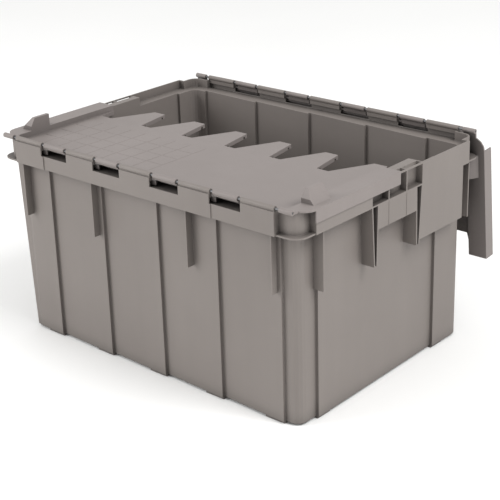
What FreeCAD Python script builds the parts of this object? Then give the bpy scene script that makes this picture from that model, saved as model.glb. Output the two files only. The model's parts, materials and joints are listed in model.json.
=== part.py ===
import FreeCAD, Part
import math
import os
import Sketcher

# Attached lid tote: one moulded container, two identical interlocking lid leaves and
# the two steel rods they swing on.
#
# Frame: millimetres, +Z up, origin on the floor at the centre of the base.
# +X runs along the length and the front lid's hinge lies on the -Y side.
# The container and the pair of lids repeat after half a turn about Z, except for the
# outermost ribs of the two end walls.
# Rest position: front lid closed, rear lid hanging open outside the rear wall.

SIZES = [
    # container wall
    ("wall_x", 331.0),          # proud face of the end walls, from the centre
    ("wall_y", 237.0),          # proud face of the long walls, from the centre
    ("wall_thick", 3.5),
    ("step_deep", 6.0),         # how far each wall panel steps in after a line
    ("corner_inset", 2.5),      # setback of the long wall next to its plain corner
    ("corner_radius", 18.0),
    ("floor_thick", 4.0),
    ("foot_height", 4.0),
    ("base_x", 298.0),          # flat panel the tote stands on
    ("base_y", 205.0),
    ("foot_long", 42.0),
    ("end_foot_long", 34.0),
    ("foot_wide", 10.0),
    ("foot_inset", 3.0),
    ("step_first", -250.0),     # X of the first step line of the front wall
    ("step_pitch", 136.5),
    ("end_step_low", -187.0),   # Y of the two step lines of the right end wall
    ("end_step_high", 149.0),
    # rim
    ("rim_x", 354.0),
    ("rim_y", 263.5),
    ("rim_thick", 3.0),
    ("rim_bottom", 346.0),
    ("rim_top", 387.0),
    ("ledge_top", 370.0),
    ("ledge_thick", 3.0),
    ("notch_x", 306.0),         # the rim band stops here before each corner
    ("notch_y", 218.0),
    ("notch_deep", 13.0),
    ("notch_radius", 18.0),
    ("shelf_x", 352.0),
    ("shelf_y", 260.0),
    ("shelf_radius", 22.0),
    ("shelf_thick", 3.0),
    ("shelf_root", 14.0),       # how far a corner shelf runs back into the wall
    ("band_step_deep", 1.6),    # shallow steps in the face of the rim band
    ("band_step_left", -232.0),
    ("band_step_left_end", -96.0),
    ("band_step_right", 173.0),
    ("band_step_right_end", 300.0),
    # ribs under the rim
    ("rib_far_left", -307.0),   # X of the front wall's ribs
    ("rib_left", -125.5),
    ("rib_right", 102.5),
    ("rib_far_right", 287.0),
    ("rib_root", 8.0),          # how far ribs and posts run back into the wall
    ("rib_thick", 3.0),
    ("rib_deep", 13.0),
    ("rib_bottom", 238.0),
    ("end_rib_deep", 15.0),
    ("end_rib_y", 231.0),
    ("corner_rib_y", -190.0),
    ("gusset_root_x", 315.0),   # tapered rib at the front of the left end wall
    ("gusset_low_x", 326.0),
    ("gusset_top_x", 343.0),
    # hand hold
    ("hold_half", 71.0),        # half width of the hand hold
    ("cell_depth_x", 341.0),    # back of the open cells
    ("cell_post", 3.0),
    ("cell_post_y", 25.5),
    ("grip_half", 56.0),
    ("grip_bottom", 304.0),
    ("grip_thick", 3.0),
    ("grip_line_half", 0.8),    # two low upright lines that divide the grip plate
    ("grip_line_high", 0.8),
    ("brace_bottom", 240.0),
    ("brace_out_top", 71.0),
    ("brace_out_low", 64.5),
    ("brace_in_top", 55.0),
    ("brace_in_low", 58.0),
    ("plate_far_y", 199.0),     # end of the flush plate that runs on from the outer brace
    ("plate_bottom", 248.0),
    # hinge
    ("axis_y", 258.0),
    ("axis_z", 391.0),
    ("barrel_radius", 4.5),
    ("rod_radius", 2.0),
    ("rod_play", 0.05),
    ("rod_half", 339.0),
    ("web_in", 255.5),
    ("web_out", 261.5),
    ("web_bottom", 380.0),
    ("barrels_half", 305.0),
    ("window_near", 69.0),
    ("window_far", 203.5),
    ("window_half", 33.0),
    ("window_floor", 371.0),
    ("window_top", 401.0),
    ("window_in", 251.5),
    ("knuckle_half", 26.0),
    ("end_knuckle_in", 314.0),
    ("end_knuckle_out", 340.0),
    # lid leaf
    ("lid_top", 380.0),
    ("lid_bottom", 372.0),
    ("lid_thick", 3.0),
    ("lid_skirt_wall", 3.0),
    ("lid_x", 322.0),
    ("lid_front", 254.0),
    ("lid_front_corner", 245.0),
    ("lid_corner_x", 301.0),
    ("border_top", 390.6),
    ("border_thick", 3.0),
    ("border_front", 246.0),
    ("border_radius", 24.0),
    ("skirt_out", 357.0),
    ("skirt_in", 354.4),
    ("skirt_bottom", 367.0),
    # seam between the lids
    ("seam_gap", 2.0),
    ("tooth_height", 39.0),     # half the height the flanks are drawn over
    ("tip_reach", 35.0),
    ("notch_reach", 43.0),
    ("tooth_pitch", 105.0),
    ("tooth_first", -230.0),
    ("tooth_flat", 26.0),
    ("tooth_fall", 14.0),
    ("tooth_rise", 39.0),
    ("slot_tip_y", 24.0),       # Y of the two slots in the skirt of a tooth's steep flank
    ("slot_root_y", -33.0),
    ("slot_half", 2.8),
    ("slot_high", 4.0),
    ("seam_end", 4.0),
    ("seam_end_x", 317.0),
    ("tab_top", 371.5),
    ("tab_thick", 2.5),
    ("tab_long", 5.0),
    ("tab_root", 8.0),
    ("tab_half", 8.0),
    # rolled bead along the hinge edge of a lid
    ("bead_front", 246.0),
    ("bead_back", 236.0),
    ("bead_slope", 2.5),
    ("bead_high", 4.0),
    ("bead_end", 298.0),
    # hinge arms and lugs of a lid
    ("arm_back", 244.0),
    ("arm_web", 247.0),         # front of the upright web that carries an arm
    ("arm_bottom", 384.0),
    ("arm_root", 2.0),
    ("arm_top", 388.6),
    ("ramp_back", 232.0),
    ("lug_in", 319.0),
    ("lug_foot_x", 344.0),
    ("lug_top_x", 326.0),
    ("lug_front", 212.0),
    ("lug_back", 168.0),
    ("lug_top", 413.0),
    ("lug_chamfer", 10.0),
    ("lug_chamfer_tall", 16.0),
    # opening angle of a lid between its two rests
    ("lid_swing", 264.0),
    # working allowances
    ("cut_past", 1.0),          # how far a cut runs past the face it opens
    ("fuse", 1.0),              # overlap where two features join
]

PANELS = 5                      # stepped panels along each long wall
TEETH = 6                       # teeth along each lid's free edge
BEND_STEPS = 4                  # straight runs in a rounded corner
ON_AXIS = 1e-9                  # a coordinate below this lies on the sketch axis

doc = FreeCAD.newDocument("attached_lid_tote")
sheet = doc.addObject("Spreadsheet::Sheet", "sizes")


class Dim:
    """A length held both as a number and as the sheet expression behind it."""

    def __init__(self, value, text):
        self.value = value
        self.text = text

    def __add__(self, other):
        return combine(self, other, "+")

    def __radd__(self, other):
        return combine(other, self, "+")

    def __sub__(self, other):
        return combine(self, other, "-")

    def __rsub__(self, other):
        return combine(other, self, "-")

    def __mul__(self, other):
        return combine(self, other, "*")

    def __rmul__(self, other):
        return combine(other, self, "*")

    def __truediv__(self, other):
        return combine(self, other, "/")

    def __neg__(self):
        return combine(0.0, self, "-")


def as_dim(item):
    if isinstance(item, Dim):
        return item
    return Dim(float(item), "%.6g" % item)


def combine(left, right, sign):
    left, right = as_dim(left), as_dim(right)
    if sign == "+":
        value = left.value + right.value
    elif sign == "-":
        value = left.value - right.value
    elif sign == "*":
        value = left.value * right.value
    else:
        value = left.value / right.value
    return Dim(value, "(%s %s %s)" % (left.text, sign, right.text))


def root(item):
    return Dim(item.value ** 0.5, "sqrt(%s)" % item.text)


size = {}
for row, (alias, number) in enumerate(SIZES, start=1):
    sheet.set("A%d" % row, alias)
    sheet.set("B%d" % row, "%g" % number)
    sheet.setAlias("B%d" % row, alias)
    size[alias] = Dim(number, "sizes.%s" % alias)
doc.recompute()


def new_body(label):
    body = doc.addObject("PartDesign::Body", label)
    body.Label = label
    return body


def origin_plane(body, role):
    for feature in body.Origin.OriginFeatures:
        if feature.Role == role:
            return feature
    raise ValueError(role)


def hold_distance(sketch, kind, line, number):
    """Tie one coordinate of a line's start point to its sheet expression."""
    if abs(number.value) < ON_AXIS:
        axis = -2 if kind == "DistanceX" else -1
        sketch.addConstraint(Sketcher.Constraint("PointOnObject", line, 1, axis))
        return
    if number.value > 0:
        rule = Sketcher.Constraint(kind, -1, 1, line, 1, number.value)
    else:
        rule = Sketcher.Constraint(kind, line, 1, -1, 1, -number.value)
        number = -number
    index = sketch.addConstraint(rule)
    sketch.setExpression("Constraints[%d]" % index, number.text)


def add_loop(sketch, points):
    points = [(as_dim(a), as_dim(b)) for a, b in points]
    first = sketch.GeometryCount
    count = len(points)
    for index in range(count):
        start, stop = points[index], points[(index + 1) % count]
        sketch.addGeometry(Part.LineSegment(
            FreeCAD.Vector(start[0].value, start[1].value, 0),
            FreeCAD.Vector(stop[0].value, stop[1].value, 0)))
    for index in range(count):
        following = first + (index + 1) % count
        sketch.addConstraint(Sketcher.Constraint("Coincident", first + index, 2, following, 1))
    for index, (across, along) in enumerate(points):
        hold_distance(sketch, "DistanceX", first + index, across)
        hold_distance(sketch, "DistanceY", first + index, along)


def add_circle(sketch, across, along, radius):
    across, along, radius = as_dim(across), as_dim(along), as_dim(radius)
    line = sketch.addGeometry(Part.Circle(
        FreeCAD.Vector(across.value, along.value, 0), FreeCAD.Vector(0, 0, 1), radius.value))
    sketch.setExpression(
        "Constraints[%d]" % sketch.addConstraint(Sketcher.Constraint("Radius", line, radius.value)),
        radius.text)
    for kind, number in (("DistanceX", across), ("DistanceY", along)):
        if number.value > 0:
            rule = Sketcher.Constraint(kind, -1, 1, line, 3, number.value)
        else:
            rule = Sketcher.Constraint(kind, line, 3, -1, 1, -number.value)
            number = -number
        sketch.setExpression("Constraints[%d]" % sketch.addConstraint(rule), number.text)


def new_sketch(body, name, role, offset):
    sketch = body.newObject("Sketcher::SketchObject", name)
    sketch.AttachmentSupport = [(origin_plane(body, role), "")]
    sketch.MapMode = "FlatFace"
    sketch.setExpression("AttachmentOffset.Base.z", as_dim(offset).text)
    return sketch


def sweep(body, kind, name, sketch, length, reverse=False):
    feature = body.newObject("PartDesign::%s" % kind, name)
    feature.Profile = (sketch, [""])
    feature.setExpression("Length", as_dim(length).text)
    feature.Reversed = reverse
    sketch.Visibility = False
    body.Tip = feature
    return feature


def pad(body, name, loops, low, high):
    """Add upright material over the plan loops between two heights."""
    sketch = new_sketch(body, name + "_plan", "XY_Plane", low)
    for loop in loops:
        add_loop(sketch, loop)
    return sweep(body, "Pad", name, sketch, as_dim(high) - low)


def pocket(body, name, loops, low, high):
    """Remove everything over the plan loops between two heights."""
    sketch = new_sketch(body, name + "_plan", "XY_Plane", high)
    for loop in loops:
        add_loop(sketch, loop)
    return sweep(body, "Pocket", name, sketch, as_dim(high) - low)


def rectangle(x_low, x_high, y_low, y_high):
    return [(x_low, y_low), (x_high, y_low), (x_high, y_high), (x_low, y_high)]


def half_turn(points):
    return [(-a, -b) for a, b in points]


def both_ends(loops):
    return loops + [half_turn(loop) for loop in loops]


def mirrored(points, flip_x, flip_y):
    """Mirror a run of points, keeping the anticlockwise order of the outline."""
    result = [(a * flip_x, b * flip_y) for a, b in points]
    if flip_x * flip_y < 0:
        result.reverse()
    return result


def front_right_arc(x_face, y_face, radius):
    """Points of a rounded corner whose faces lie at x_face and -y_face."""
    points = []
    for step in range(BEND_STEPS + 1):
        turn = math.pi / 2 * step / BEND_STEPS
        points.append((x_face - radius * (1.0 - math.sin(turn)),
                       radius * (1.0 - math.cos(turn)) - y_face))
    return points


def wall_outline(inset):
    """Stepped wall in plan: each panel leans out until it steps back at a line."""
    radius = size["corner_radius"] - inset
    x_proud = size["wall_x"] - inset
    y_proud = size["wall_y"] - inset
    x_back = x_proud - size["step_deep"]
    y_back = y_proud - size["step_deep"]
    y_plain = y_proud - size["corner_inset"]
    plain_corner = mirrored(front_right_arc(x_proud, y_plain, radius), -1, 1)
    front = []
    for number in range(PANELS):
        line_x = size["step_first"] + size["step_pitch"] * number - inset
        front += [(line_x, -y_proud), (line_x, -y_back)]
    low, high = size["end_step_low"] + inset, size["end_step_high"] + inset
    end = [(x_back, low), (x_proud, low), (x_back, high), (x_proud, high)]
    half = plain_corner + front + front_right_arc(x_back, y_back, radius) + end
    return half + half_turn(half)


def rim_outline(inset):
    """Rim band in plan, set back around each corner."""
    out_x, out_y = size["rim_x"] - inset, size["rim_y"] - inset
    stop_x, stop_y = size["notch_x"] - inset, size["notch_y"] - inset
    in_x, in_y = out_x - size["notch_deep"], out_y - size["notch_deep"]
    corner = [(stop_x, -out_y)]
    corner += [(stop_x, -in_y)]
    corner += front_right_arc(in_x, in_y, size["notch_radius"] - inset)
    corner += [(in_x, -stop_y), (out_x, -stop_y)]
    right = corner + mirrored(corner, 1, -1)
    return right + half_turn(right)


tote = new_body("tote_body")
pad(tote, "wall_block", [wall_outline(0.0)], size["foot_height"], size["ledge_top"])
pad(tote, "ledge", [rim_outline(0.0)], size["ledge_top"] - size["ledge_thick"], size["ledge_top"])
pad(tote, "rim_band", [rim_outline(0.0), rim_outline(size["rim_thick"])],
    size["rim_bottom"], size["rim_top"])

# corner shelves close the rim from below where the band is set back
shelf_in_y = size["shelf_root"] - size["wall_y"]
shelf = [(size["notch_x"] - size["rim_thick"], shelf_in_y),
         (size["notch_x"] - size["rim_thick"], -size["shelf_y"])]
shelf += front_right_arc(size["shelf_x"], size["shelf_y"], size["shelf_radius"])
shelf += [(size["shelf_x"], size["rim_thick"] - size["notch_y"]),
          (size["wall_x"] - size["shelf_root"], size["rim_thick"] - size["notch_y"]),
          (size["wall_x"] - size["shelf_root"], shelf_in_y)]
shelves = [mirrored(shelf, flip_x, flip_y) for flip_x in (1, -1) for flip_y in (1, -1)]
pad(tote, "corner_shelves", shelves, size["rim_bottom"], size["rim_bottom"] + size["shelf_thick"])

# upright ribs carry the rim on the long walls
half_rib = size["rib_thick"] / 2
root_x = size["wall_x"] - size["rib_root"]
root_y = size["wall_y"] - size["rib_root"]
low_ribs, high_ribs = [], []
for alias in ("rib_far_left", "rib_left", "rib_right", "rib_far_right"):
    centre = size[alias]
    low_ribs.append(rectangle(centre - half_rib, centre + half_rib,
                              -(size["wall_y"] + size["rib_deep"]), -root_y))
    high_ribs.append(rectangle(centre - half_rib, centre + half_rib,
                               size["rim_thick"] / 2 - size["rim_y"], -root_y))
rib_end_x = size["wall_x"] + size["end_rib_deep"]
low_ribs.append(rectangle(root_x, rib_end_x, size["corner_rib_y"] - half_rib,
                          size["corner_rib_y"] + half_rib))
rear_rib = rectangle(root_x, rib_end_x, size["end_rib_y"] - half_rib,
                     size["end_rib_y"] + half_rib)
pad(tote, "wall_ribs", both_ends(low_ribs) + [rear_rib], size["rib_bottom"], size["rim_bottom"])
pad(tote, "rim_ribs", both_ends(high_ribs), size["rim_bottom"],
    size["ledge_top"] - size["ledge_thick"])

# the front rib of the left end wall tapers down to nothing at the base
sketch = new_sketch(tote, "left_gusset_side", "XZ_Plane", size["end_rib_y"] - half_rib)
add_loop(sketch, [(-size["gusset_root_x"], size["foot_height"]),
                  (-size["gusset_low_x"], size["foot_height"]),
                  (-size["gusset_top_x"], size["rim_bottom"]),
                  (-size["gusset_root_x"], size["rim_bottom"])])
sweep(tote, "Pad", "left_gusset", sketch, size["rib_thick"])

# shallow steps in the rim band that fade out to the right
steps = []
for name in ("left", "right"):
    line_x = size["band_step_%s" % name]
    fade_x = size["band_step_%s_end" % name]
    past_y = -size["rim_y"] - size["cut_past"]
    steps.append([(line_x, past_y), (fade_x, past_y), (fade_x, -size["rim_y"]),
                  (line_x, size["band_step_deep"] - size["rim_y"])])
pocket(tote, "band_steps", both_ends(steps), size["rim_bottom"], size["rim_top"])

# hand hold: three open cells in the rim, a grip plate below and paired braces
hold = size["hold_half"]
post = size["cell_post"]
pocket(tote, "hold_opening",
       both_ends([rectangle(size["cell_depth_x"], size["rim_x"] + size["cut_past"],
                            -hold, hold)]),
       size["rim_bottom"], size["rim_top"] - size["rim_thick"])
pad(tote, "hold_floor",
    both_ends([rectangle(root_x, size["rim_x"], -hold - post, hold + post)]),
    size["rim_bottom"], size["rim_bottom"] + size["rim_thick"])
posts = [rectangle(root_x, size["cell_depth_x"], -hold - post, hold + post)]
for centre in (-hold - post / 2, -size["cell_post_y"], size["cell_post_y"], hold + post / 2):
    posts.append(rectangle(size["cell_depth_x"], size["rim_x"], centre - post / 2, centre + post / 2))
pad(tote, "hold_posts", both_ends(posts), size["rim_bottom"], size["rim_top"])
grip = [rectangle(size["rim_x"] - size["grip_thick"], size["rim_x"],
                  -size["grip_half"], size["grip_half"])]
pad(tote, "grip_plate", both_ends(grip), size["grip_bottom"], size["rim_bottom"])

lines = []
for centre in (-size["cell_post_y"], size["cell_post_y"]):
    lines.append(rectangle(size["rim_x"] - size["fuse"], size["rim_x"] + size["grip_line_high"],
                           centre - size["grip_line_half"], centre + size["grip_line_half"]))
pad(tote, "grip_lines", both_ends(lines), size["grip_bottom"], size["rim_bottom"])


def brace(side, top, low):
    thick = size["rib_thick"]
    return [((top - thick / 2) * side, size["rim_bottom"]),
            ((low - thick / 2) * side, size["brace_bottom"]),
            ((low + thick / 2) * side, size["brace_bottom"]),
            ((top + thick / 2) * side, size["rim_bottom"])]


for name, start, reverse in (("right_braces", root_x, False), ("left_braces", -root_x, True)):
    sketch = new_sketch(tote, name + "_side", "YZ_Plane", start)
    for side in (-1.0, 1.0):
        add_loop(sketch, brace(side, size["brace_out_top"], size["brace_out_low"]))
        add_loop(sketch, brace(side, size["brace_in_top"], size["brace_in_low"]))
    sweep(tote, "Pad", name, sketch, size["rim_x"] - root_x, reverse)

# flush plate below the rim, from the outer brace towards the corner with a plain wall line
brace_lean = (size["brace_out_top"] - size["brace_out_low"]) / (size["rim_bottom"] - size["brace_bottom"])
plate_near_low = size["brace_out_top"] - brace_lean * (size["rim_bottom"] - size["plate_bottom"])
for name, side in (("right_plate", 1.0), ("left_plate", -1.0)):
    plate_in = size["rim_x"] - size["grip_thick"]
    sketch = new_sketch(tote, name + "_side", "YZ_Plane", plate_in * side)
    add_loop(sketch, [(size["brace_out_top"] * side, size["rim_bottom"]),
                      (plate_near_low * side, size["plate_bottom"]),
                      (size["plate_far_y"] * side, size["plate_bottom"]),
                      (size["plate_far_y"] * side, size["rim_bottom"])])
    sweep(tote, "Pad", name, sketch, size["grip_thick"], side < 0)

# hinge barrels along both long rims, opened by windows for the lid knuckles
web = rectangle(-size["barrels_half"], size["barrels_half"], -size["web_out"], -size["web_in"])
pad(tote, "hinge_web", both_ends([web]), size["web_bottom"], size["axis_z"])
sketch = new_sketch(tote, "hinge_barrels_side", "YZ_Plane", -size["barrels_half"])
add_circle(sketch, size["axis_y"], size["axis_z"], size["barrel_radius"])
add_circle(sketch, -size["axis_y"], size["axis_z"], size["barrel_radius"])
sweep(tote, "Pad", "hinge_barrels", sketch, size["barrels_half"] * 2)
windows = []
for centre in (-size["window_far"], -size["window_near"], size["window_near"], size["window_far"]):
    windows.append(rectangle(centre - size["window_half"], centre + size["window_half"],
                             -size["rim_y"] - size["cut_past"], -size["window_in"]))
pocket(tote, "hinge_windows", both_ends(windows), size["window_floor"], size["window_top"])
sketch = new_sketch(tote, "rod_bores_side", "YZ_Plane", size["rim_x"])
for side in (-1.0, 1.0):
    add_circle(sketch, size["axis_y"] * side, size["axis_z"], size["rod_radius"] + size["rod_play"])
sweep(tote, "Pocket", "rod_bores", sketch, size["rim_x"] * 2)

pocket(tote, "cavity", [wall_outline(size["wall_thick"])],
       size["foot_height"] + size["floor_thick"], size["rim_top"] + size["cut_past"])

# the middle of the base is set down to the floor line, inside and out
pad(tote, "base_panel",
    [rectangle(-size["base_x"], size["base_x"], -size["base_y"], size["base_y"])],
    0.0, size["foot_height"])
recess_x = size["base_x"] - size["floor_thick"]
recess_y = size["base_y"] - size["floor_thick"]
pocket(tote, "base_recess", [rectangle(-recess_x, recess_x, -recess_y, recess_y)],
       size["foot_height"], size["foot_height"] + size["floor_thick"])

# feet under the proud end of every wall panel
feet = []
foot_y = size["wall_y"] - size["foot_inset"]
for number in range(PANELS):
    stop = size["step_first"] + size["step_pitch"] * number
    feet.append(rectangle(stop - size["foot_long"], stop, -foot_y, size["foot_wide"] - foot_y))
foot_x = size["wall_x"] - size["foot_inset"]
for start in (size["end_step_low"], size["end_step_high"]):
    feet.append(rectangle(foot_x - size["foot_wide"], foot_x, start,
                          start + size["end_foot_long"]))
pad(tote, "feet", both_ends(feet), 0.0, size["foot_height"])


def tooth_tip(number):
    """X of the middle of a tooth's tip, counted from the left."""
    return size["tooth_first"] + size["tooth_pitch"] * number


def flank_spread(spread, along, inset):
    """How far a flank lies from the middle of its tooth's tip at the height along."""
    reach = size["tooth_height"]
    lean = spread / (reach * 2)
    return size["tooth_flat"] / 2 + lean * (reach - along) - inset * root(lean * lean + 1.0)


def seam(inset):
    """Toothed free edge of the front lid, left to right, set back from the middle line."""
    top, low = size["tip_reach"] - inset, -size["notch_reach"] - inset
    fall, rise = size["tooth_fall"], size["tooth_rise"]
    points = []
    for number in range(TEETH):
        tip = tooth_tip(number)
        points += [(tip - flank_spread(rise, low, inset), low),
                   (tip - flank_spread(rise, top, inset), top),
                   (tip + flank_spread(fall, top, inset), top)]
        if number < TEETH - 1:
            points += [(tip + flank_spread(fall, low, inset), low)]
    return points


def leaf_outline(inset, side_inset, front_inset, left_strip):
    """Plan of one lid leaf inside its raised end borders.

    left_strip keeps the narrow strip beside the notch for the other lid's last tooth.
    """
    left_x = side_inset - size["lid_x"]
    right_x = size["lid_x"] - side_inset
    corner_y = front_inset - size["lid_front_corner"]
    corner_x = size["lid_corner_x"] - side_inset
    front_y = front_inset - size["lid_front"]
    low = -size["notch_reach"] - inset
    last_tip = tooth_tip(TEETH - 1) + size["tooth_flat"] / 2
    outline = [(left_x, corner_y), (-corner_x, corner_y), (-corner_x, front_y),
               (corner_x, front_y), (corner_x, corner_y), (right_x, corner_y)]
    if left_strip:
        edge = [(left_x, -size["seam_end"] - inset),
                (-size["seam_end_x"] - inset, -size["seam_end"] - inset),
                (-last_tip - inset, low)]
    else:
        edge = [(left_x, low)]
    edge += seam(inset)
    edge += [(size["seam_end_x"] - inset, size["seam_end"] - inset),
             (right_x, size["seam_end"] - inset)]
    edge.reverse()
    return outline + edge


def build_lid(label):
    gap = size["seam_gap"] / 2
    lid = new_body(label)
    fuse = size["fuse"]
    past = size["cut_past"]
    pad(lid, label + "_leaf", [leaf_outline(gap, 0.0, 0.0, True)],
        size["lid_bottom"], size["lid_top"])
    wall = size["lid_skirt_wall"]
    pocket(lid, label + "_underside", [leaf_outline(gap + wall, wall, wall, False)],
           size["lid_bottom"], size["lid_top"] - size["lid_thick"])
    # two slots through the skirt along the steep flank of each tooth
    slots = []
    for number in range(TEETH - 1):
        for along in (size["slot_tip_y"], size["slot_root_y"]):
            face_x = tooth_tip(number) + flank_spread(size["tooth_fall"], along, gap)
            slots.append(rectangle(face_x - wall - past, face_x + past,
                                   along - size["slot_half"], along + size["slot_half"]))
    pocket(lid, label + "_flank_slots", slots,
           size["lid_bottom"] - past, size["lid_bottom"] + size["slot_high"])
    # raised borders over the end rims, with a skirt outside them
    right_end = size["seam_end"] - gap
    left_end = -size["seam_end"] - gap
    under = size["border_top"] - size["border_thick"]
    outer = size["skirt_out"]
    riser = size["lid_x"] - size["border_thick"]
    corner_y = -size["lid_front_corner"]

    def border(end):
        outline = [(riser, -size["border_front"])]
        outline += front_right_arc(outer, size["border_front"], size["border_radius"])
        return outline + [(outer, end), (riser, end)]

    skirt_start = size["border_radius"] - size["border_front"]
    pad(lid, label + "_risers",
        [rectangle(riser, size["lid_x"], corner_y, right_end),
         rectangle(-size["lid_x"], -riser, corner_y, left_end)],
        size["lid_bottom"] + fuse, size["border_top"])
    pad(lid, label + "_borders", [border(right_end), mirrored(border(left_end), -1, 1)],
        under, size["border_top"])
    pad(lid, label + "_skirts",
        [rectangle(size["skirt_in"], outer, skirt_start, right_end),
         rectangle(-outer, -size["skirt_in"], skirt_start, left_end)],
        size["skirt_bottom"], size["border_top"])
    # short tabs under the notches
    tab_in = -size["notch_reach"] - size["tab_root"]
    tab_low = size["tab_top"] - size["tab_thick"]
    tabs, roots = [], []
    for number in range(TEETH - 1):
        centre = tooth_tip(number) + size["tooth_flat"] + size["tooth_fall"]
        low_x, high_x = centre - size["tab_half"], centre + size["tab_half"]
        tabs.append(rectangle(low_x, high_x, tab_in, size["tab_long"] - size["notch_reach"]))
        roots.append(rectangle(low_x, high_x, tab_in, -size["notch_reach"] - gap - fuse))
    pad(lid, label + "_tabs", tabs, tab_low, size["tab_top"])
    pad(lid, label + "_tab_roots", roots, tab_low, size["lid_top"] - fuse)
    # thin upright lugs, leaning in on the outside and chamfered towards the hinge
    lug = new_sketch(lid, label + "_lugs_side", "XZ_Plane", size["lug_back"])
    for side in (-1.0, 1.0):
        add_loop(lug, [(size["lug_in"] * side, under), (size["lug_foot_x"] * side, under),
                       (size["lug_foot_x"] * side, size["border_top"]),
                       (size["lug_top_x"] * side, size["lug_top"]),
                       (size["lug_in"] * side, size["lug_top"])])
    sweep(lid, "Pad", label + "_lugs", lug, size["lug_front"] - size["lug_back"])
    cut = new_sketch(lid, label + "_lug_chamfer_side", "YZ_Plane", outer + past)
    add_loop(cut, [(-size["lug_front"] - past, size["lug_top"] - size["lug_chamfer_tall"]),
                   (size["lug_chamfer"] - size["lug_front"], size["lug_top"] + past),
                   (-size["lug_front"] - past, size["lug_top"] + past)])
    sweep(lid, "Pocket", label + "_lug_chamfer", cut, (outer + past) * 2)
    # arms and knuckles of the hinge
    arms = []
    for centre in (-size["window_far"], -size["window_near"], size["window_near"],
                   size["window_far"]):
        arms.append((centre - size["knuckle_half"], centre + size["knuckle_half"]))
    web_low = size["lid_top"] - size["lid_thick"]
    pocket(lid, label + "_arm_gaps",
           [rectangle(low, high, -size["lid_front"] - past, -size["arm_web"])
            for low, high in arms],
           size["lid_bottom"] - past, size["lid_top"] + past)
    pad(lid, label + "_arm_webs",
        [rectangle(low, high, -size["arm_web"], -size["arm_back"]) for low, high in arms],
        web_low, size["arm_top"])
    pad(lid, label + "_arms",
        [rectangle(low, high, -size["axis_y"], -size["arm_back"]) for low, high in arms],
        size["arm_bottom"], size["arm_top"])
    end_arms = [rectangle(size["end_knuckle_in"], size["end_knuckle_out"],
                          -size["axis_y"], size["arm_root"] - size["border_front"])]
    pad(lid, label + "_end_arms", end_arms + [mirrored(end_arms[0], -1, 1)],
        under, size["border_top"])
    ramp = new_sketch(lid, label + "_ramps_side", "YZ_Plane",
                      -size["window_far"] - size["knuckle_half"])
    profile = [(-size["arm_back"] - fuse, web_low), (-size["ramp_back"], web_low),
               (-size["ramp_back"], size["lid_top"]), (-size["arm_back"], size["arm_top"]),
               (-size["arm_back"] - fuse, size["arm_top"])]
    add_loop(ramp, profile)
    sweep(lid, "Pad", label + "_left_ramp", ramp, size["knuckle_half"] * 2)
    ramp = new_sketch(lid, label + "_right_ramp_side", "YZ_Plane",
                      size["window_far"] - size["knuckle_half"])
    add_loop(ramp, profile)
    sweep(lid, "Pad", label + "_right_ramp", ramp, size["knuckle_half"] * 2)
    # the bead is broken by the two outer ramps
    ramp_in = size["window_far"] - size["knuckle_half"]
    ramp_out = size["window_far"] + size["knuckle_half"]
    bead_low = size["lid_top"] - fuse
    bead_top = size["lid_top"] + size["bead_high"]
    for name, low, high in (("left", -size["bead_end"], -ramp_out), ("middle", -ramp_in, ramp_in),
                            ("right", ramp_out, size["bead_end"])):
        bead = new_sketch(lid, "%s_%s_bead_side" % (label, name), "YZ_Plane", low)
        add_loop(bead, [(-size["bead_front"], bead_low), (-size["bead_back"], bead_low),
                        (-size["bead_back"] - size["bead_slope"], bead_top),
                        (size["bead_slope"] - size["bead_front"], bead_top)])
        sweep(lid, "Pad", "%s_%s_bead" % (label, name), bead, high - low)
    knuckles = [(low, high) for low, high in arms]
    knuckles += [(size["end_knuckle_in"], size["end_knuckle_out"]),
                 (-size["end_knuckle_out"], -size["end_knuckle_in"])]
    for number, (low, high) in enumerate(knuckles, start=1):
        name = "%s_knuckle_%d" % (label, number)
        ring = new_sketch(lid, name + "_side", "YZ_Plane", low)
        add_circle(ring, -size["axis_y"], size["axis_z"], size["barrel_radius"])
        sweep(lid, "Pad", name, ring, high - low)
    bore = new_sketch(lid, label + "_bore_side", "YZ_Plane", outer)
    add_circle(bore, -size["axis_y"], size["axis_z"], size["rod_radius"] + size["rod_play"])
    sweep(lid, "Pocket", label + "_bore", bore, outer * 2)
    return lid


front_lid = build_lid("front_lid")
rear_lid = build_lid("rear_lid")

# the rear lid is turned half round and swung open to hang outside the rear wall
half_round = FreeCAD.Placement(FreeCAD.Vector(0, 0, 0), FreeCAD.Rotation(FreeCAD.Vector(0, 0, 1), 180))
hinge_line = FreeCAD.Vector(0, size["axis_y"].value, size["axis_z"].value)
swing = FreeCAD.Placement(FreeCAD.Vector(0, 0, 0),
                          FreeCAD.Rotation(FreeCAD.Vector(1, 0, 0), -size["lid_swing"].value),
                          hinge_line)
rear_lid.Placement = swing.multiply(half_round)

rods = []
for label, side in (("front_hinge_rod", -1.0), ("rear_hinge_rod", 1.0)):
    rod = new_body(label)
    ring = new_sketch(rod, label + "_section", "YZ_Plane", -size["rod_half"])
    add_circle(ring, size["axis_y"] * side, size["axis_z"], size["rod_radius"])
    sweep(rod, "Pad", label + "_bar", ring, size["rod_half"] * 2)
    rods.append(rod)

doc.recompute()

nodes = [tote, front_lid, rear_lid] + rods
for item in doc.Objects:
    if "Invalid" in item.State or "Error" in item.State:
        raise RuntimeError("%s: %s" % (item.Name, item.State))
for node in nodes:
    if node.Shape.isNull() or not node.Shape.isValid():
        raise RuntimeError("%s has no valid shape" % node.Label)

os.makedirs("parts", exist_ok=True)
for node in nodes:
    node.Shape.exportStep("parts/%s.step" % node.Label)
    box = node.Shape.BoundBox
    print(node.Label, "solids", len(node.Shape.Solids), "volume", round(node.Shape.Volume),
          "x", round(box.XMin, 1), round(box.XMax, 1), "y", round(box.YMin, 1), round(box.YMax, 1),
          "z", round(box.ZMin, 1), round(box.ZMax, 1))
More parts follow.
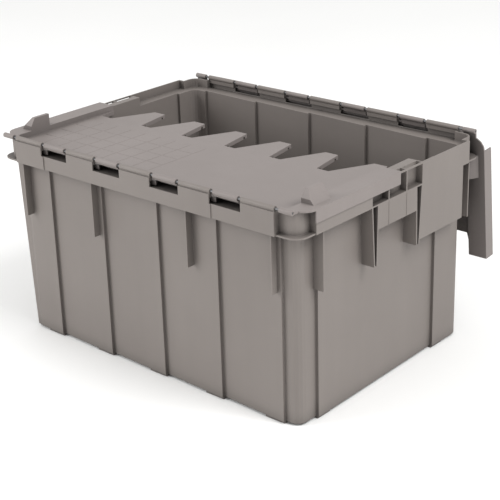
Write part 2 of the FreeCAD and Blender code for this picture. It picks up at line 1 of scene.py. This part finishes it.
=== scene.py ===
import json
import math

import bmesh
import bpy
from mathutils import Matrix, Vector


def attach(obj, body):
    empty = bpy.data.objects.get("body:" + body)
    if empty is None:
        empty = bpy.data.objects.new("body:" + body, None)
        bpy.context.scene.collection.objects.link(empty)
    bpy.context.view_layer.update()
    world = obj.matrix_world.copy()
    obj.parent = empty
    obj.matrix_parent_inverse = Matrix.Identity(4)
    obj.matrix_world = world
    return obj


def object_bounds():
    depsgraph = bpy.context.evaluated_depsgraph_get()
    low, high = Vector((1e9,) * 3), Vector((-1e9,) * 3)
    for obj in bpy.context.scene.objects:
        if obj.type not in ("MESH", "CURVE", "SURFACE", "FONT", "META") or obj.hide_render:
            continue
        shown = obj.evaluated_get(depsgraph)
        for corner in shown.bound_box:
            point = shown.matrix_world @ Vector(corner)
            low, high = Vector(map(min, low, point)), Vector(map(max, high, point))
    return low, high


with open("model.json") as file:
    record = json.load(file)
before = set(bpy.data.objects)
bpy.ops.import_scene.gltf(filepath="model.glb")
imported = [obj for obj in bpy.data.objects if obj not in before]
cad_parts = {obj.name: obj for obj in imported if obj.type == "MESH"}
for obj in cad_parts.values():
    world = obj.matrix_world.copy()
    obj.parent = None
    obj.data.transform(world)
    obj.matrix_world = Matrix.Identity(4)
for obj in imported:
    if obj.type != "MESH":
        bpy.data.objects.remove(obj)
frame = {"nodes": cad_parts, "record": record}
CAD_LOW, CAD_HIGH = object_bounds()

# The attached lid tote in its moulded polyethylene, on a pale floor in soft studio light.
# Everything is in metres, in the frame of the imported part: +Z up, origin under the base.

SCENE = bpy.context.scene
MM = 0.001

# ---------------------------------------------------------------- materials

# linear colours of the two tones that each material drifts between
BODY_TONES = ((0.186, 0.164, 0.151), (0.202, 0.179, 0.165))
LID_TONES = ((0.208, 0.183, 0.173), (0.228, 0.201, 0.191))
STEEL_TONES = ((0.15, 0.15, 0.155), (0.24, 0.24, 0.245))
FLOOR_TONES = ((0.90, 0.90, 0.89), (0.94, 0.94, 0.93))
# how near other surfaces must be for the painted shade of corners and gaps to darken the colour
CORNER_SHADE_REACH = 22.0 * MM
BODY_GAP_SHADE_REACH = 45.0 * MM
LID_GAP_SHADE_REACH = 120.0 * MM
# height that the bump of each surface spans
GRAIN_HEIGHT = 0.6 * MM
DRAWING_HEIGHT = 0.1 * MM


class Nodes:
    """Adds nodes to a material and joins them with fewer words."""

    def __init__(self, name):
        self.material = bpy.data.materials.new(name)
        self.material.use_nodes = True
        self.tree = self.material.node_tree
        self.shader = self.tree.nodes["Principled BSDF"]
        coordinates = self.tree.nodes.new("ShaderNodeTexCoord")
        self.place = coordinates.outputs["Object"]

    def add(self, kind, values=None, **settings):
        node = self.tree.nodes.new(kind)
        for key, value in settings.items():
            setattr(node, key, value)
        for key, value in (values or {}).items():
            if isinstance(value, bpy.types.NodeSocket):
                self.tree.links.new(value, node.inputs[key])
            else:
                node.inputs[key].default_value = value
        return node

    def stretched(self, scale):
        """Object coordinates scaled separately along each axis."""
        return self.add("ShaderNodeMapping", {"Vector": self.place, "Scale": scale}).outputs[0]

    def noise(self, scale, detail, place=None, roughness=0.5):
        node = self.add("ShaderNodeTexNoise", {
            "Vector": place or self.place, "Scale": scale, "Detail": detail,
            "Roughness": roughness})
        return node.outputs["Fac"]

    def window(self, source, low, high, out_low=0.0, out_high=1.0):
        """The part of a value between low and high, stretched over the output range."""
        node = self.add("ShaderNodeMapRange", {
            "Value": source, "From Min": low, "From Max": high,
            "To Min": out_low, "To Max": out_high})
        return node.outputs["Result"]

    def mix(self, factor, first, second, blend="MIX"):
        """Two colours blended; each input is a socket or a plain value."""
        node = self.add("ShaderNodeMix", data_type="RGBA", blend_type=blend)
        for index, value in ((0, factor), (6, first), (7, second)):
            if isinstance(value, bpy.types.NodeSocket):
                self.tree.links.new(value, node.inputs[index])
            elif index:
                node.inputs[index].default_value = (*value, 1.0)
            else:
                node.inputs[index].default_value = value
        return node.outputs[2]

    def combine(self, operation, first, second):
        """Two numbers joined by one arithmetic operation."""
        node = self.add("ShaderNodeMath", operation=operation)
        for index, value in enumerate((first, second)):
            if isinstance(value, bpy.types.NodeSocket):
                self.tree.links.new(value, node.inputs[index])
            else:
                node.inputs[index].default_value = value
        return node.outputs[0]

    def join(self, source, socket):
        """Drive one input of the surface shader."""
        self.tree.links.new(source, self.shader.inputs[socket])


def moulded_plastic(name, tones, grain, shade_reach):
    """Satin polyethylene: drifting tone, flow streaks, scuffs, painted shade in corners and gaps,
    and fine grain.

    Painted shade darkens the colour inside gaps narrower than about the reach given for gaps.
    """
    n = Nodes(name)
    drift = n.window(n.noise(5.0, 4.0), 0.32, 0.68)
    colour = n.mix(drift, tones[0], tones[1])
    # faint upright flow marks left by filling the mould
    flow = n.window(n.noise(1.0, 3.0, n.stretched((38.0, 38.0, 2.2))), 0.35, 0.70)
    darker = tuple(part * 0.90 for part in tones[0])
    colour = n.mix(n.combine("MULTIPLY", flow, 0.16), colour, darker)
    # pale scuffs, long and thin, where totes slide past each other
    streak = n.noise(1.0, 5.0, n.stretched((26.0, 26.0, 210.0)), 0.65)
    patch = n.window(n.noise(7.0, 2.0), 0.50, 0.66)
    scuff = n.combine("MULTIPLY", n.window(streak, 0.60, 0.72), patch)
    paler = tuple(min(1.0, part * 1.28) for part in tones[1])
    colour = n.mix(n.combine("MULTIPLY", scuff, 0.22), colour, paler)
    # painted shade: the colour is darkened in inner corners and, more thinly, in deep gaps, where
    # shade falls
    hollow = n.add("ShaderNodeAmbientOcclusion", {"Distance": CORNER_SHADE_REACH}, samples=8)
    gap = n.add("ShaderNodeAmbientOcclusion", {"Distance": shade_reach}, samples=8)
    painted_shade = n.combine("MULTIPLY", n.window(hollow.outputs["AO"], 0.05, 0.45, 0.60, 1.0),
                   n.window(gap.outputs["AO"], 0.15, 0.80, 0.30, 1.0))
    shade = n.add("ShaderNodeCombineColor", {"Red": painted_shade, "Green": painted_shade, "Blue": painted_shade})
    n.join(n.mix(1.0, colour, shade.outputs[0], "MULTIPLY"), "Base Color")
    fine = n.noise(grain, 3.0, roughness=0.6)
    rough = n.window(fine, 0.3, 0.7, 0.46, 0.60)
    n.join(n.combine("ADD", rough, n.combine("MULTIPLY", scuff, 0.10)), "Roughness")
    n.shader.inputs["Specular IOR Level"].default_value = 0.38
    waves = n.noise(34.0, 2.0)
    height = n.combine("ADD", n.combine("MULTIPLY", fine, 0.30), n.combine("MULTIPLY", waves, 1.0))
    bump = n.add("ShaderNodeBump", {"Height": height, "Strength": 0.35,
                                    "Distance": GRAIN_HEIGHT})
    n.join(bump.outputs["Normal"], "Normal")
    return n.material


def drawn_steel(name):
    """Wire with drawing lines along its length."""
    n = Nodes(name)
    lines = n.noise(1.0, 4.0, n.stretched((6.0, 2400.0, 2400.0)))
    n.join(n.mix(n.window(lines, 0.3, 0.7), STEEL_TONES[0], STEEL_TONES[1]), "Base Color")
    n.join(n.window(lines, 0.3, 0.7, 0.42, 0.58), "Roughness")
    n.shader.inputs["Metallic"].default_value = 1.0
    bump = n.add("ShaderNodeBump", {"Height": lines, "Strength": 0.3,
                                    "Distance": DRAWING_HEIGHT})
    n.join(bump.outputs["Normal"], "Normal")
    return n.material


body_plastic = moulded_plastic("moulded_polyethylene_look", BODY_TONES, 950.0, BODY_GAP_SHADE_REACH)
# the lids' painted shade reaches across wider gaps than the body's
lid_plastic = moulded_plastic("lid_polyethylene_look", LID_TONES, 1150.0, LID_GAP_SHADE_REACH)
rod_steel = drawn_steel("rod_steel_look")

# ---------------------------------------------------------------- CAD nodes

EDGE_ROUND = 0.5 * MM
ROUND_ABOVE = math.radians(40)      # gentler bends than this keep their edge
WELD_GAP = 0.01 * MM


def box_keeper():
    """Geometry nodes that hold every vertex inside the CAD box after the edges are rounded."""
    tree = bpy.data.node_groups.new("box_keeper", "GeometryNodeTree")
    tree.interface.new_socket("Geometry", in_out="INPUT", socket_type="NodeSocketGeometry")
    tree.interface.new_socket("Geometry", in_out="OUTPUT", socket_type="NodeSocketGeometry")
    source = tree.nodes.new("NodeGroupInput")
    result = tree.nodes.new("NodeGroupOutput")
    place = tree.nodes.new("GeometryNodeInputPosition").outputs["Position"]
    for operation, corner in (("MAXIMUM", CAD_LOW), ("MINIMUM", CAD_HIGH)):
        limit = tree.nodes.new("ShaderNodeVectorMath")
        limit.operation = operation
        limit.inputs[1].default_value = corner
        tree.links.new(place, limit.inputs[0])
        place = limit.outputs["Vector"]
    setter = tree.nodes.new("GeometryNodeSetPosition")
    tree.links.new(source.outputs["Geometry"], setter.inputs["Geometry"])
    tree.links.new(place, setter.inputs["Position"])
    tree.links.new(setter.outputs["Geometry"], result.inputs["Geometry"])
    return tree


keep_inside = box_keeper()

LOOKS = {
    "tote_body": body_plastic,
    "front_lid": lid_plastic,
    "rear_lid": lid_plastic,
    "front_hinge_rod": rod_steel,
    "rear_hinge_rod": rod_steel,
}

for node, look in LOOKS.items():
    obj = frame["nodes"][node]
    for entry in obj.material_slots:
        entry.material = look
    weld = obj.modifiers.new("weld", "WELD")
    weld.merge_threshold = WELD_GAP
    if look is not rod_steel:
        bevel = obj.modifiers.new("edge_round", "BEVEL")
        bevel.width = EDGE_ROUND
        bevel.segments = 2
        bevel.limit_method = "ANGLE"
        bevel.angle_limit = ROUND_ABOVE
        bevel.use_clamp_overlap = False
        bevel.harden_normals = True
        keeper = obj.modifiers.new("box_keeper", "NODES")
        keeper.node_group = keep_inside

# ---------------------------------------------------------------- grid on the lids

TILE_PITCH = 38.0 * MM
TILE_GAP = 1.6 * MM
TILE_HIGH = 0.45 * MM
TILE_SLOPE = 0.5 * MM
TILE_SINK = 0.2 * MM
LID_TOP = 380.0 * MM
GRID_LOW = Vector((-309.0 * MM, -226.0 * MM))
GRID_HIGH = Vector((3.0 * MM, -48.0 * MM))


def tile_rings(left, front, right, rear):
    """Corner points of a tile at its foot and, drawn in a little, at its top."""
    foot = [(left, front), (right, front), (right, rear), (left, rear)]
    inner = [(left + TILE_SLOPE, front + TILE_SLOPE), (right - TILE_SLOPE, front + TILE_SLOPE),
             (right - TILE_SLOPE, rear - TILE_SLOPE), (left + TILE_SLOPE, rear - TILE_SLOPE)]
    return foot, inner


def lid_grid(name, body, placing):
    """The field of shallow square tiles moulded on the left of a lid."""
    build = bmesh.new()
    columns = int((GRID_HIGH.x - GRID_LOW.x) / TILE_PITCH)
    rows = int((GRID_HIGH.y - GRID_LOW.y) / TILE_PITCH)
    for column in range(columns):
        for row in range(rows):
            left = GRID_LOW.x + column * TILE_PITCH
            front = GRID_LOW.y + row * TILE_PITCH
            foot, inner = tile_rings(left, front, left + TILE_PITCH - TILE_GAP,
                                     front + TILE_PITCH - TILE_GAP)
            under = [build.verts.new((x, y, LID_TOP - TILE_SINK)) for x, y in foot]
            top = [build.verts.new((x, y, LID_TOP + TILE_HIGH)) for x, y in inner]
            build.faces.new(top)
            build.faces.new(list(reversed(under)))
            for index in range(len(foot)):
                after = (index + 1) % len(foot)
                build.faces.new((under[index], under[after], top[after], top[index]))
    mesh = bpy.data.meshes.new(name)
    bmesh.ops.transform(build, matrix=placing, verts=build.verts)
    build.to_mesh(mesh)
    build.free()
    mesh.materials.append(lid_plastic)
    grid = bpy.data.objects.new(name, mesh)
    SCENE.collection.objects.link(grid)
    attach(grid, body)


# the rear lid is the front lid turned half round, then swung back to where it hangs
HINGES = {joint["name"]: joint for joint in frame["record"]["behaviour"]["joints"]}
rear_hinge = HINGES["rear_lid_hinge"]
rear_line = Vector(rear_hinge["pos_m"])
swing = Matrix.Rotation(-math.radians(rear_hinge["range_deg"][1]), 4, "X")
to_rear = (Matrix.Translation(rear_line) @ swing @ Matrix.Translation(-rear_line)
           @ Matrix.Rotation(math.pi, 4, "Z"))
lid_grid("front_lid_grid", "front_lid_leaf", Matrix.Identity(4))
lid_grid("rear_lid_grid", "rear_lid_leaf", to_rear)

# ---------------------------------------------------------------- floor, light, camera

FLOOR_HALF = 14.0
FLOOR_DROP = 0.2 * MM
SKY_STRENGTH = 0.80

floor_mesh = bpy.data.meshes.new("floor")
build = bmesh.new()
bmesh.ops.create_grid(build, x_segments=2, y_segments=2, size=FLOOR_HALF)
build.to_mesh(floor_mesh)
build.free()
floor = bpy.data.objects.new("floor", floor_mesh)
floor.location.z = -FLOOR_DROP
SCENE.collection.objects.link(floor)
pale = Nodes("floor_pale")
pale_drift = pale.window(pale.noise(0.8, 2.0), 0.3, 0.7)
pale.join(pale.mix(pale_drift, FLOOR_TONES[0], FLOOR_TONES[1]), "Base Color")
pale.shader.inputs["Roughness"].default_value = 0.9
floor_mesh.materials.append(pale.material)

world = bpy.data.worlds.new("studio")
world.use_nodes = True
world.node_tree.nodes["Background"].inputs["Color"].default_value = (1.0, 1.0, 1.0, 1.0)
world.node_tree.nodes["Background"].inputs["Strength"].default_value = SKY_STRENGTH
SCENE.world = world


def soft_light(name, place, target, size, watts):
    data = bpy.data.lights.new(name, "AREA")
    data.size = size
    data.energy = watts
    lamp = bpy.data.objects.new(name, data)
    lamp.location = place
    aim = Vector(target) - Vector(place)
    lamp.rotation_euler = aim.to_track_quat("-Z", "Y").to_euler()
    SCENE.collection.objects.link(lamp)


MIDDLE = (0.0, 0.0, 0.2)
soft_light("key", (3.0, 0.2, 3.6), MIDDLE, 2.0, 128.0)
soft_light("fill", (-2.4, -2.8, 1.9), MIDDLE, 2.0, 75.0)

# azimuth and pitch of the line of sight, and a slight roll
CAMERA_PLACE = Vector((1.5546, -1.7284, 1.1130))
CAMERA_AZIMUTH = math.radians(41.56)
CAMERA_PITCH = math.radians(22.25)
CAMERA_ROLL = math.radians(-1.68)
SENSOR = 36.0
FOCAL_IN_FRAMES = 2.6814

back = Vector((math.sin(CAMERA_AZIMUTH) * math.cos(CAMERA_PITCH),
               -math.cos(CAMERA_AZIMUTH) * math.cos(CAMERA_PITCH),
               math.sin(CAMERA_PITCH)))
level = Vector((0.0, 0.0, 1.0)).cross(back).normalized()
upward = back.cross(level)
across = level * math.cos(CAMERA_ROLL) + upward * math.sin(CAMERA_ROLL)
upright = upward * math.cos(CAMERA_ROLL) - level * math.sin(CAMERA_ROLL)
turn = Matrix((across, upright, back)).transposed()

camera_data = bpy.data.cameras.new("camera")
camera_data.sensor_width = SENSOR
camera_data.lens = SENSOR * FOCAL_IN_FRAMES
camera = bpy.data.objects.new("camera", camera_data)
camera.matrix_world = Matrix.Translation(CAMERA_PLACE) @ turn.to_4x4()
SCENE.collection.objects.link(camera)
SCENE.camera = camera
SCENE.view_settings.view_transform = "Standard"
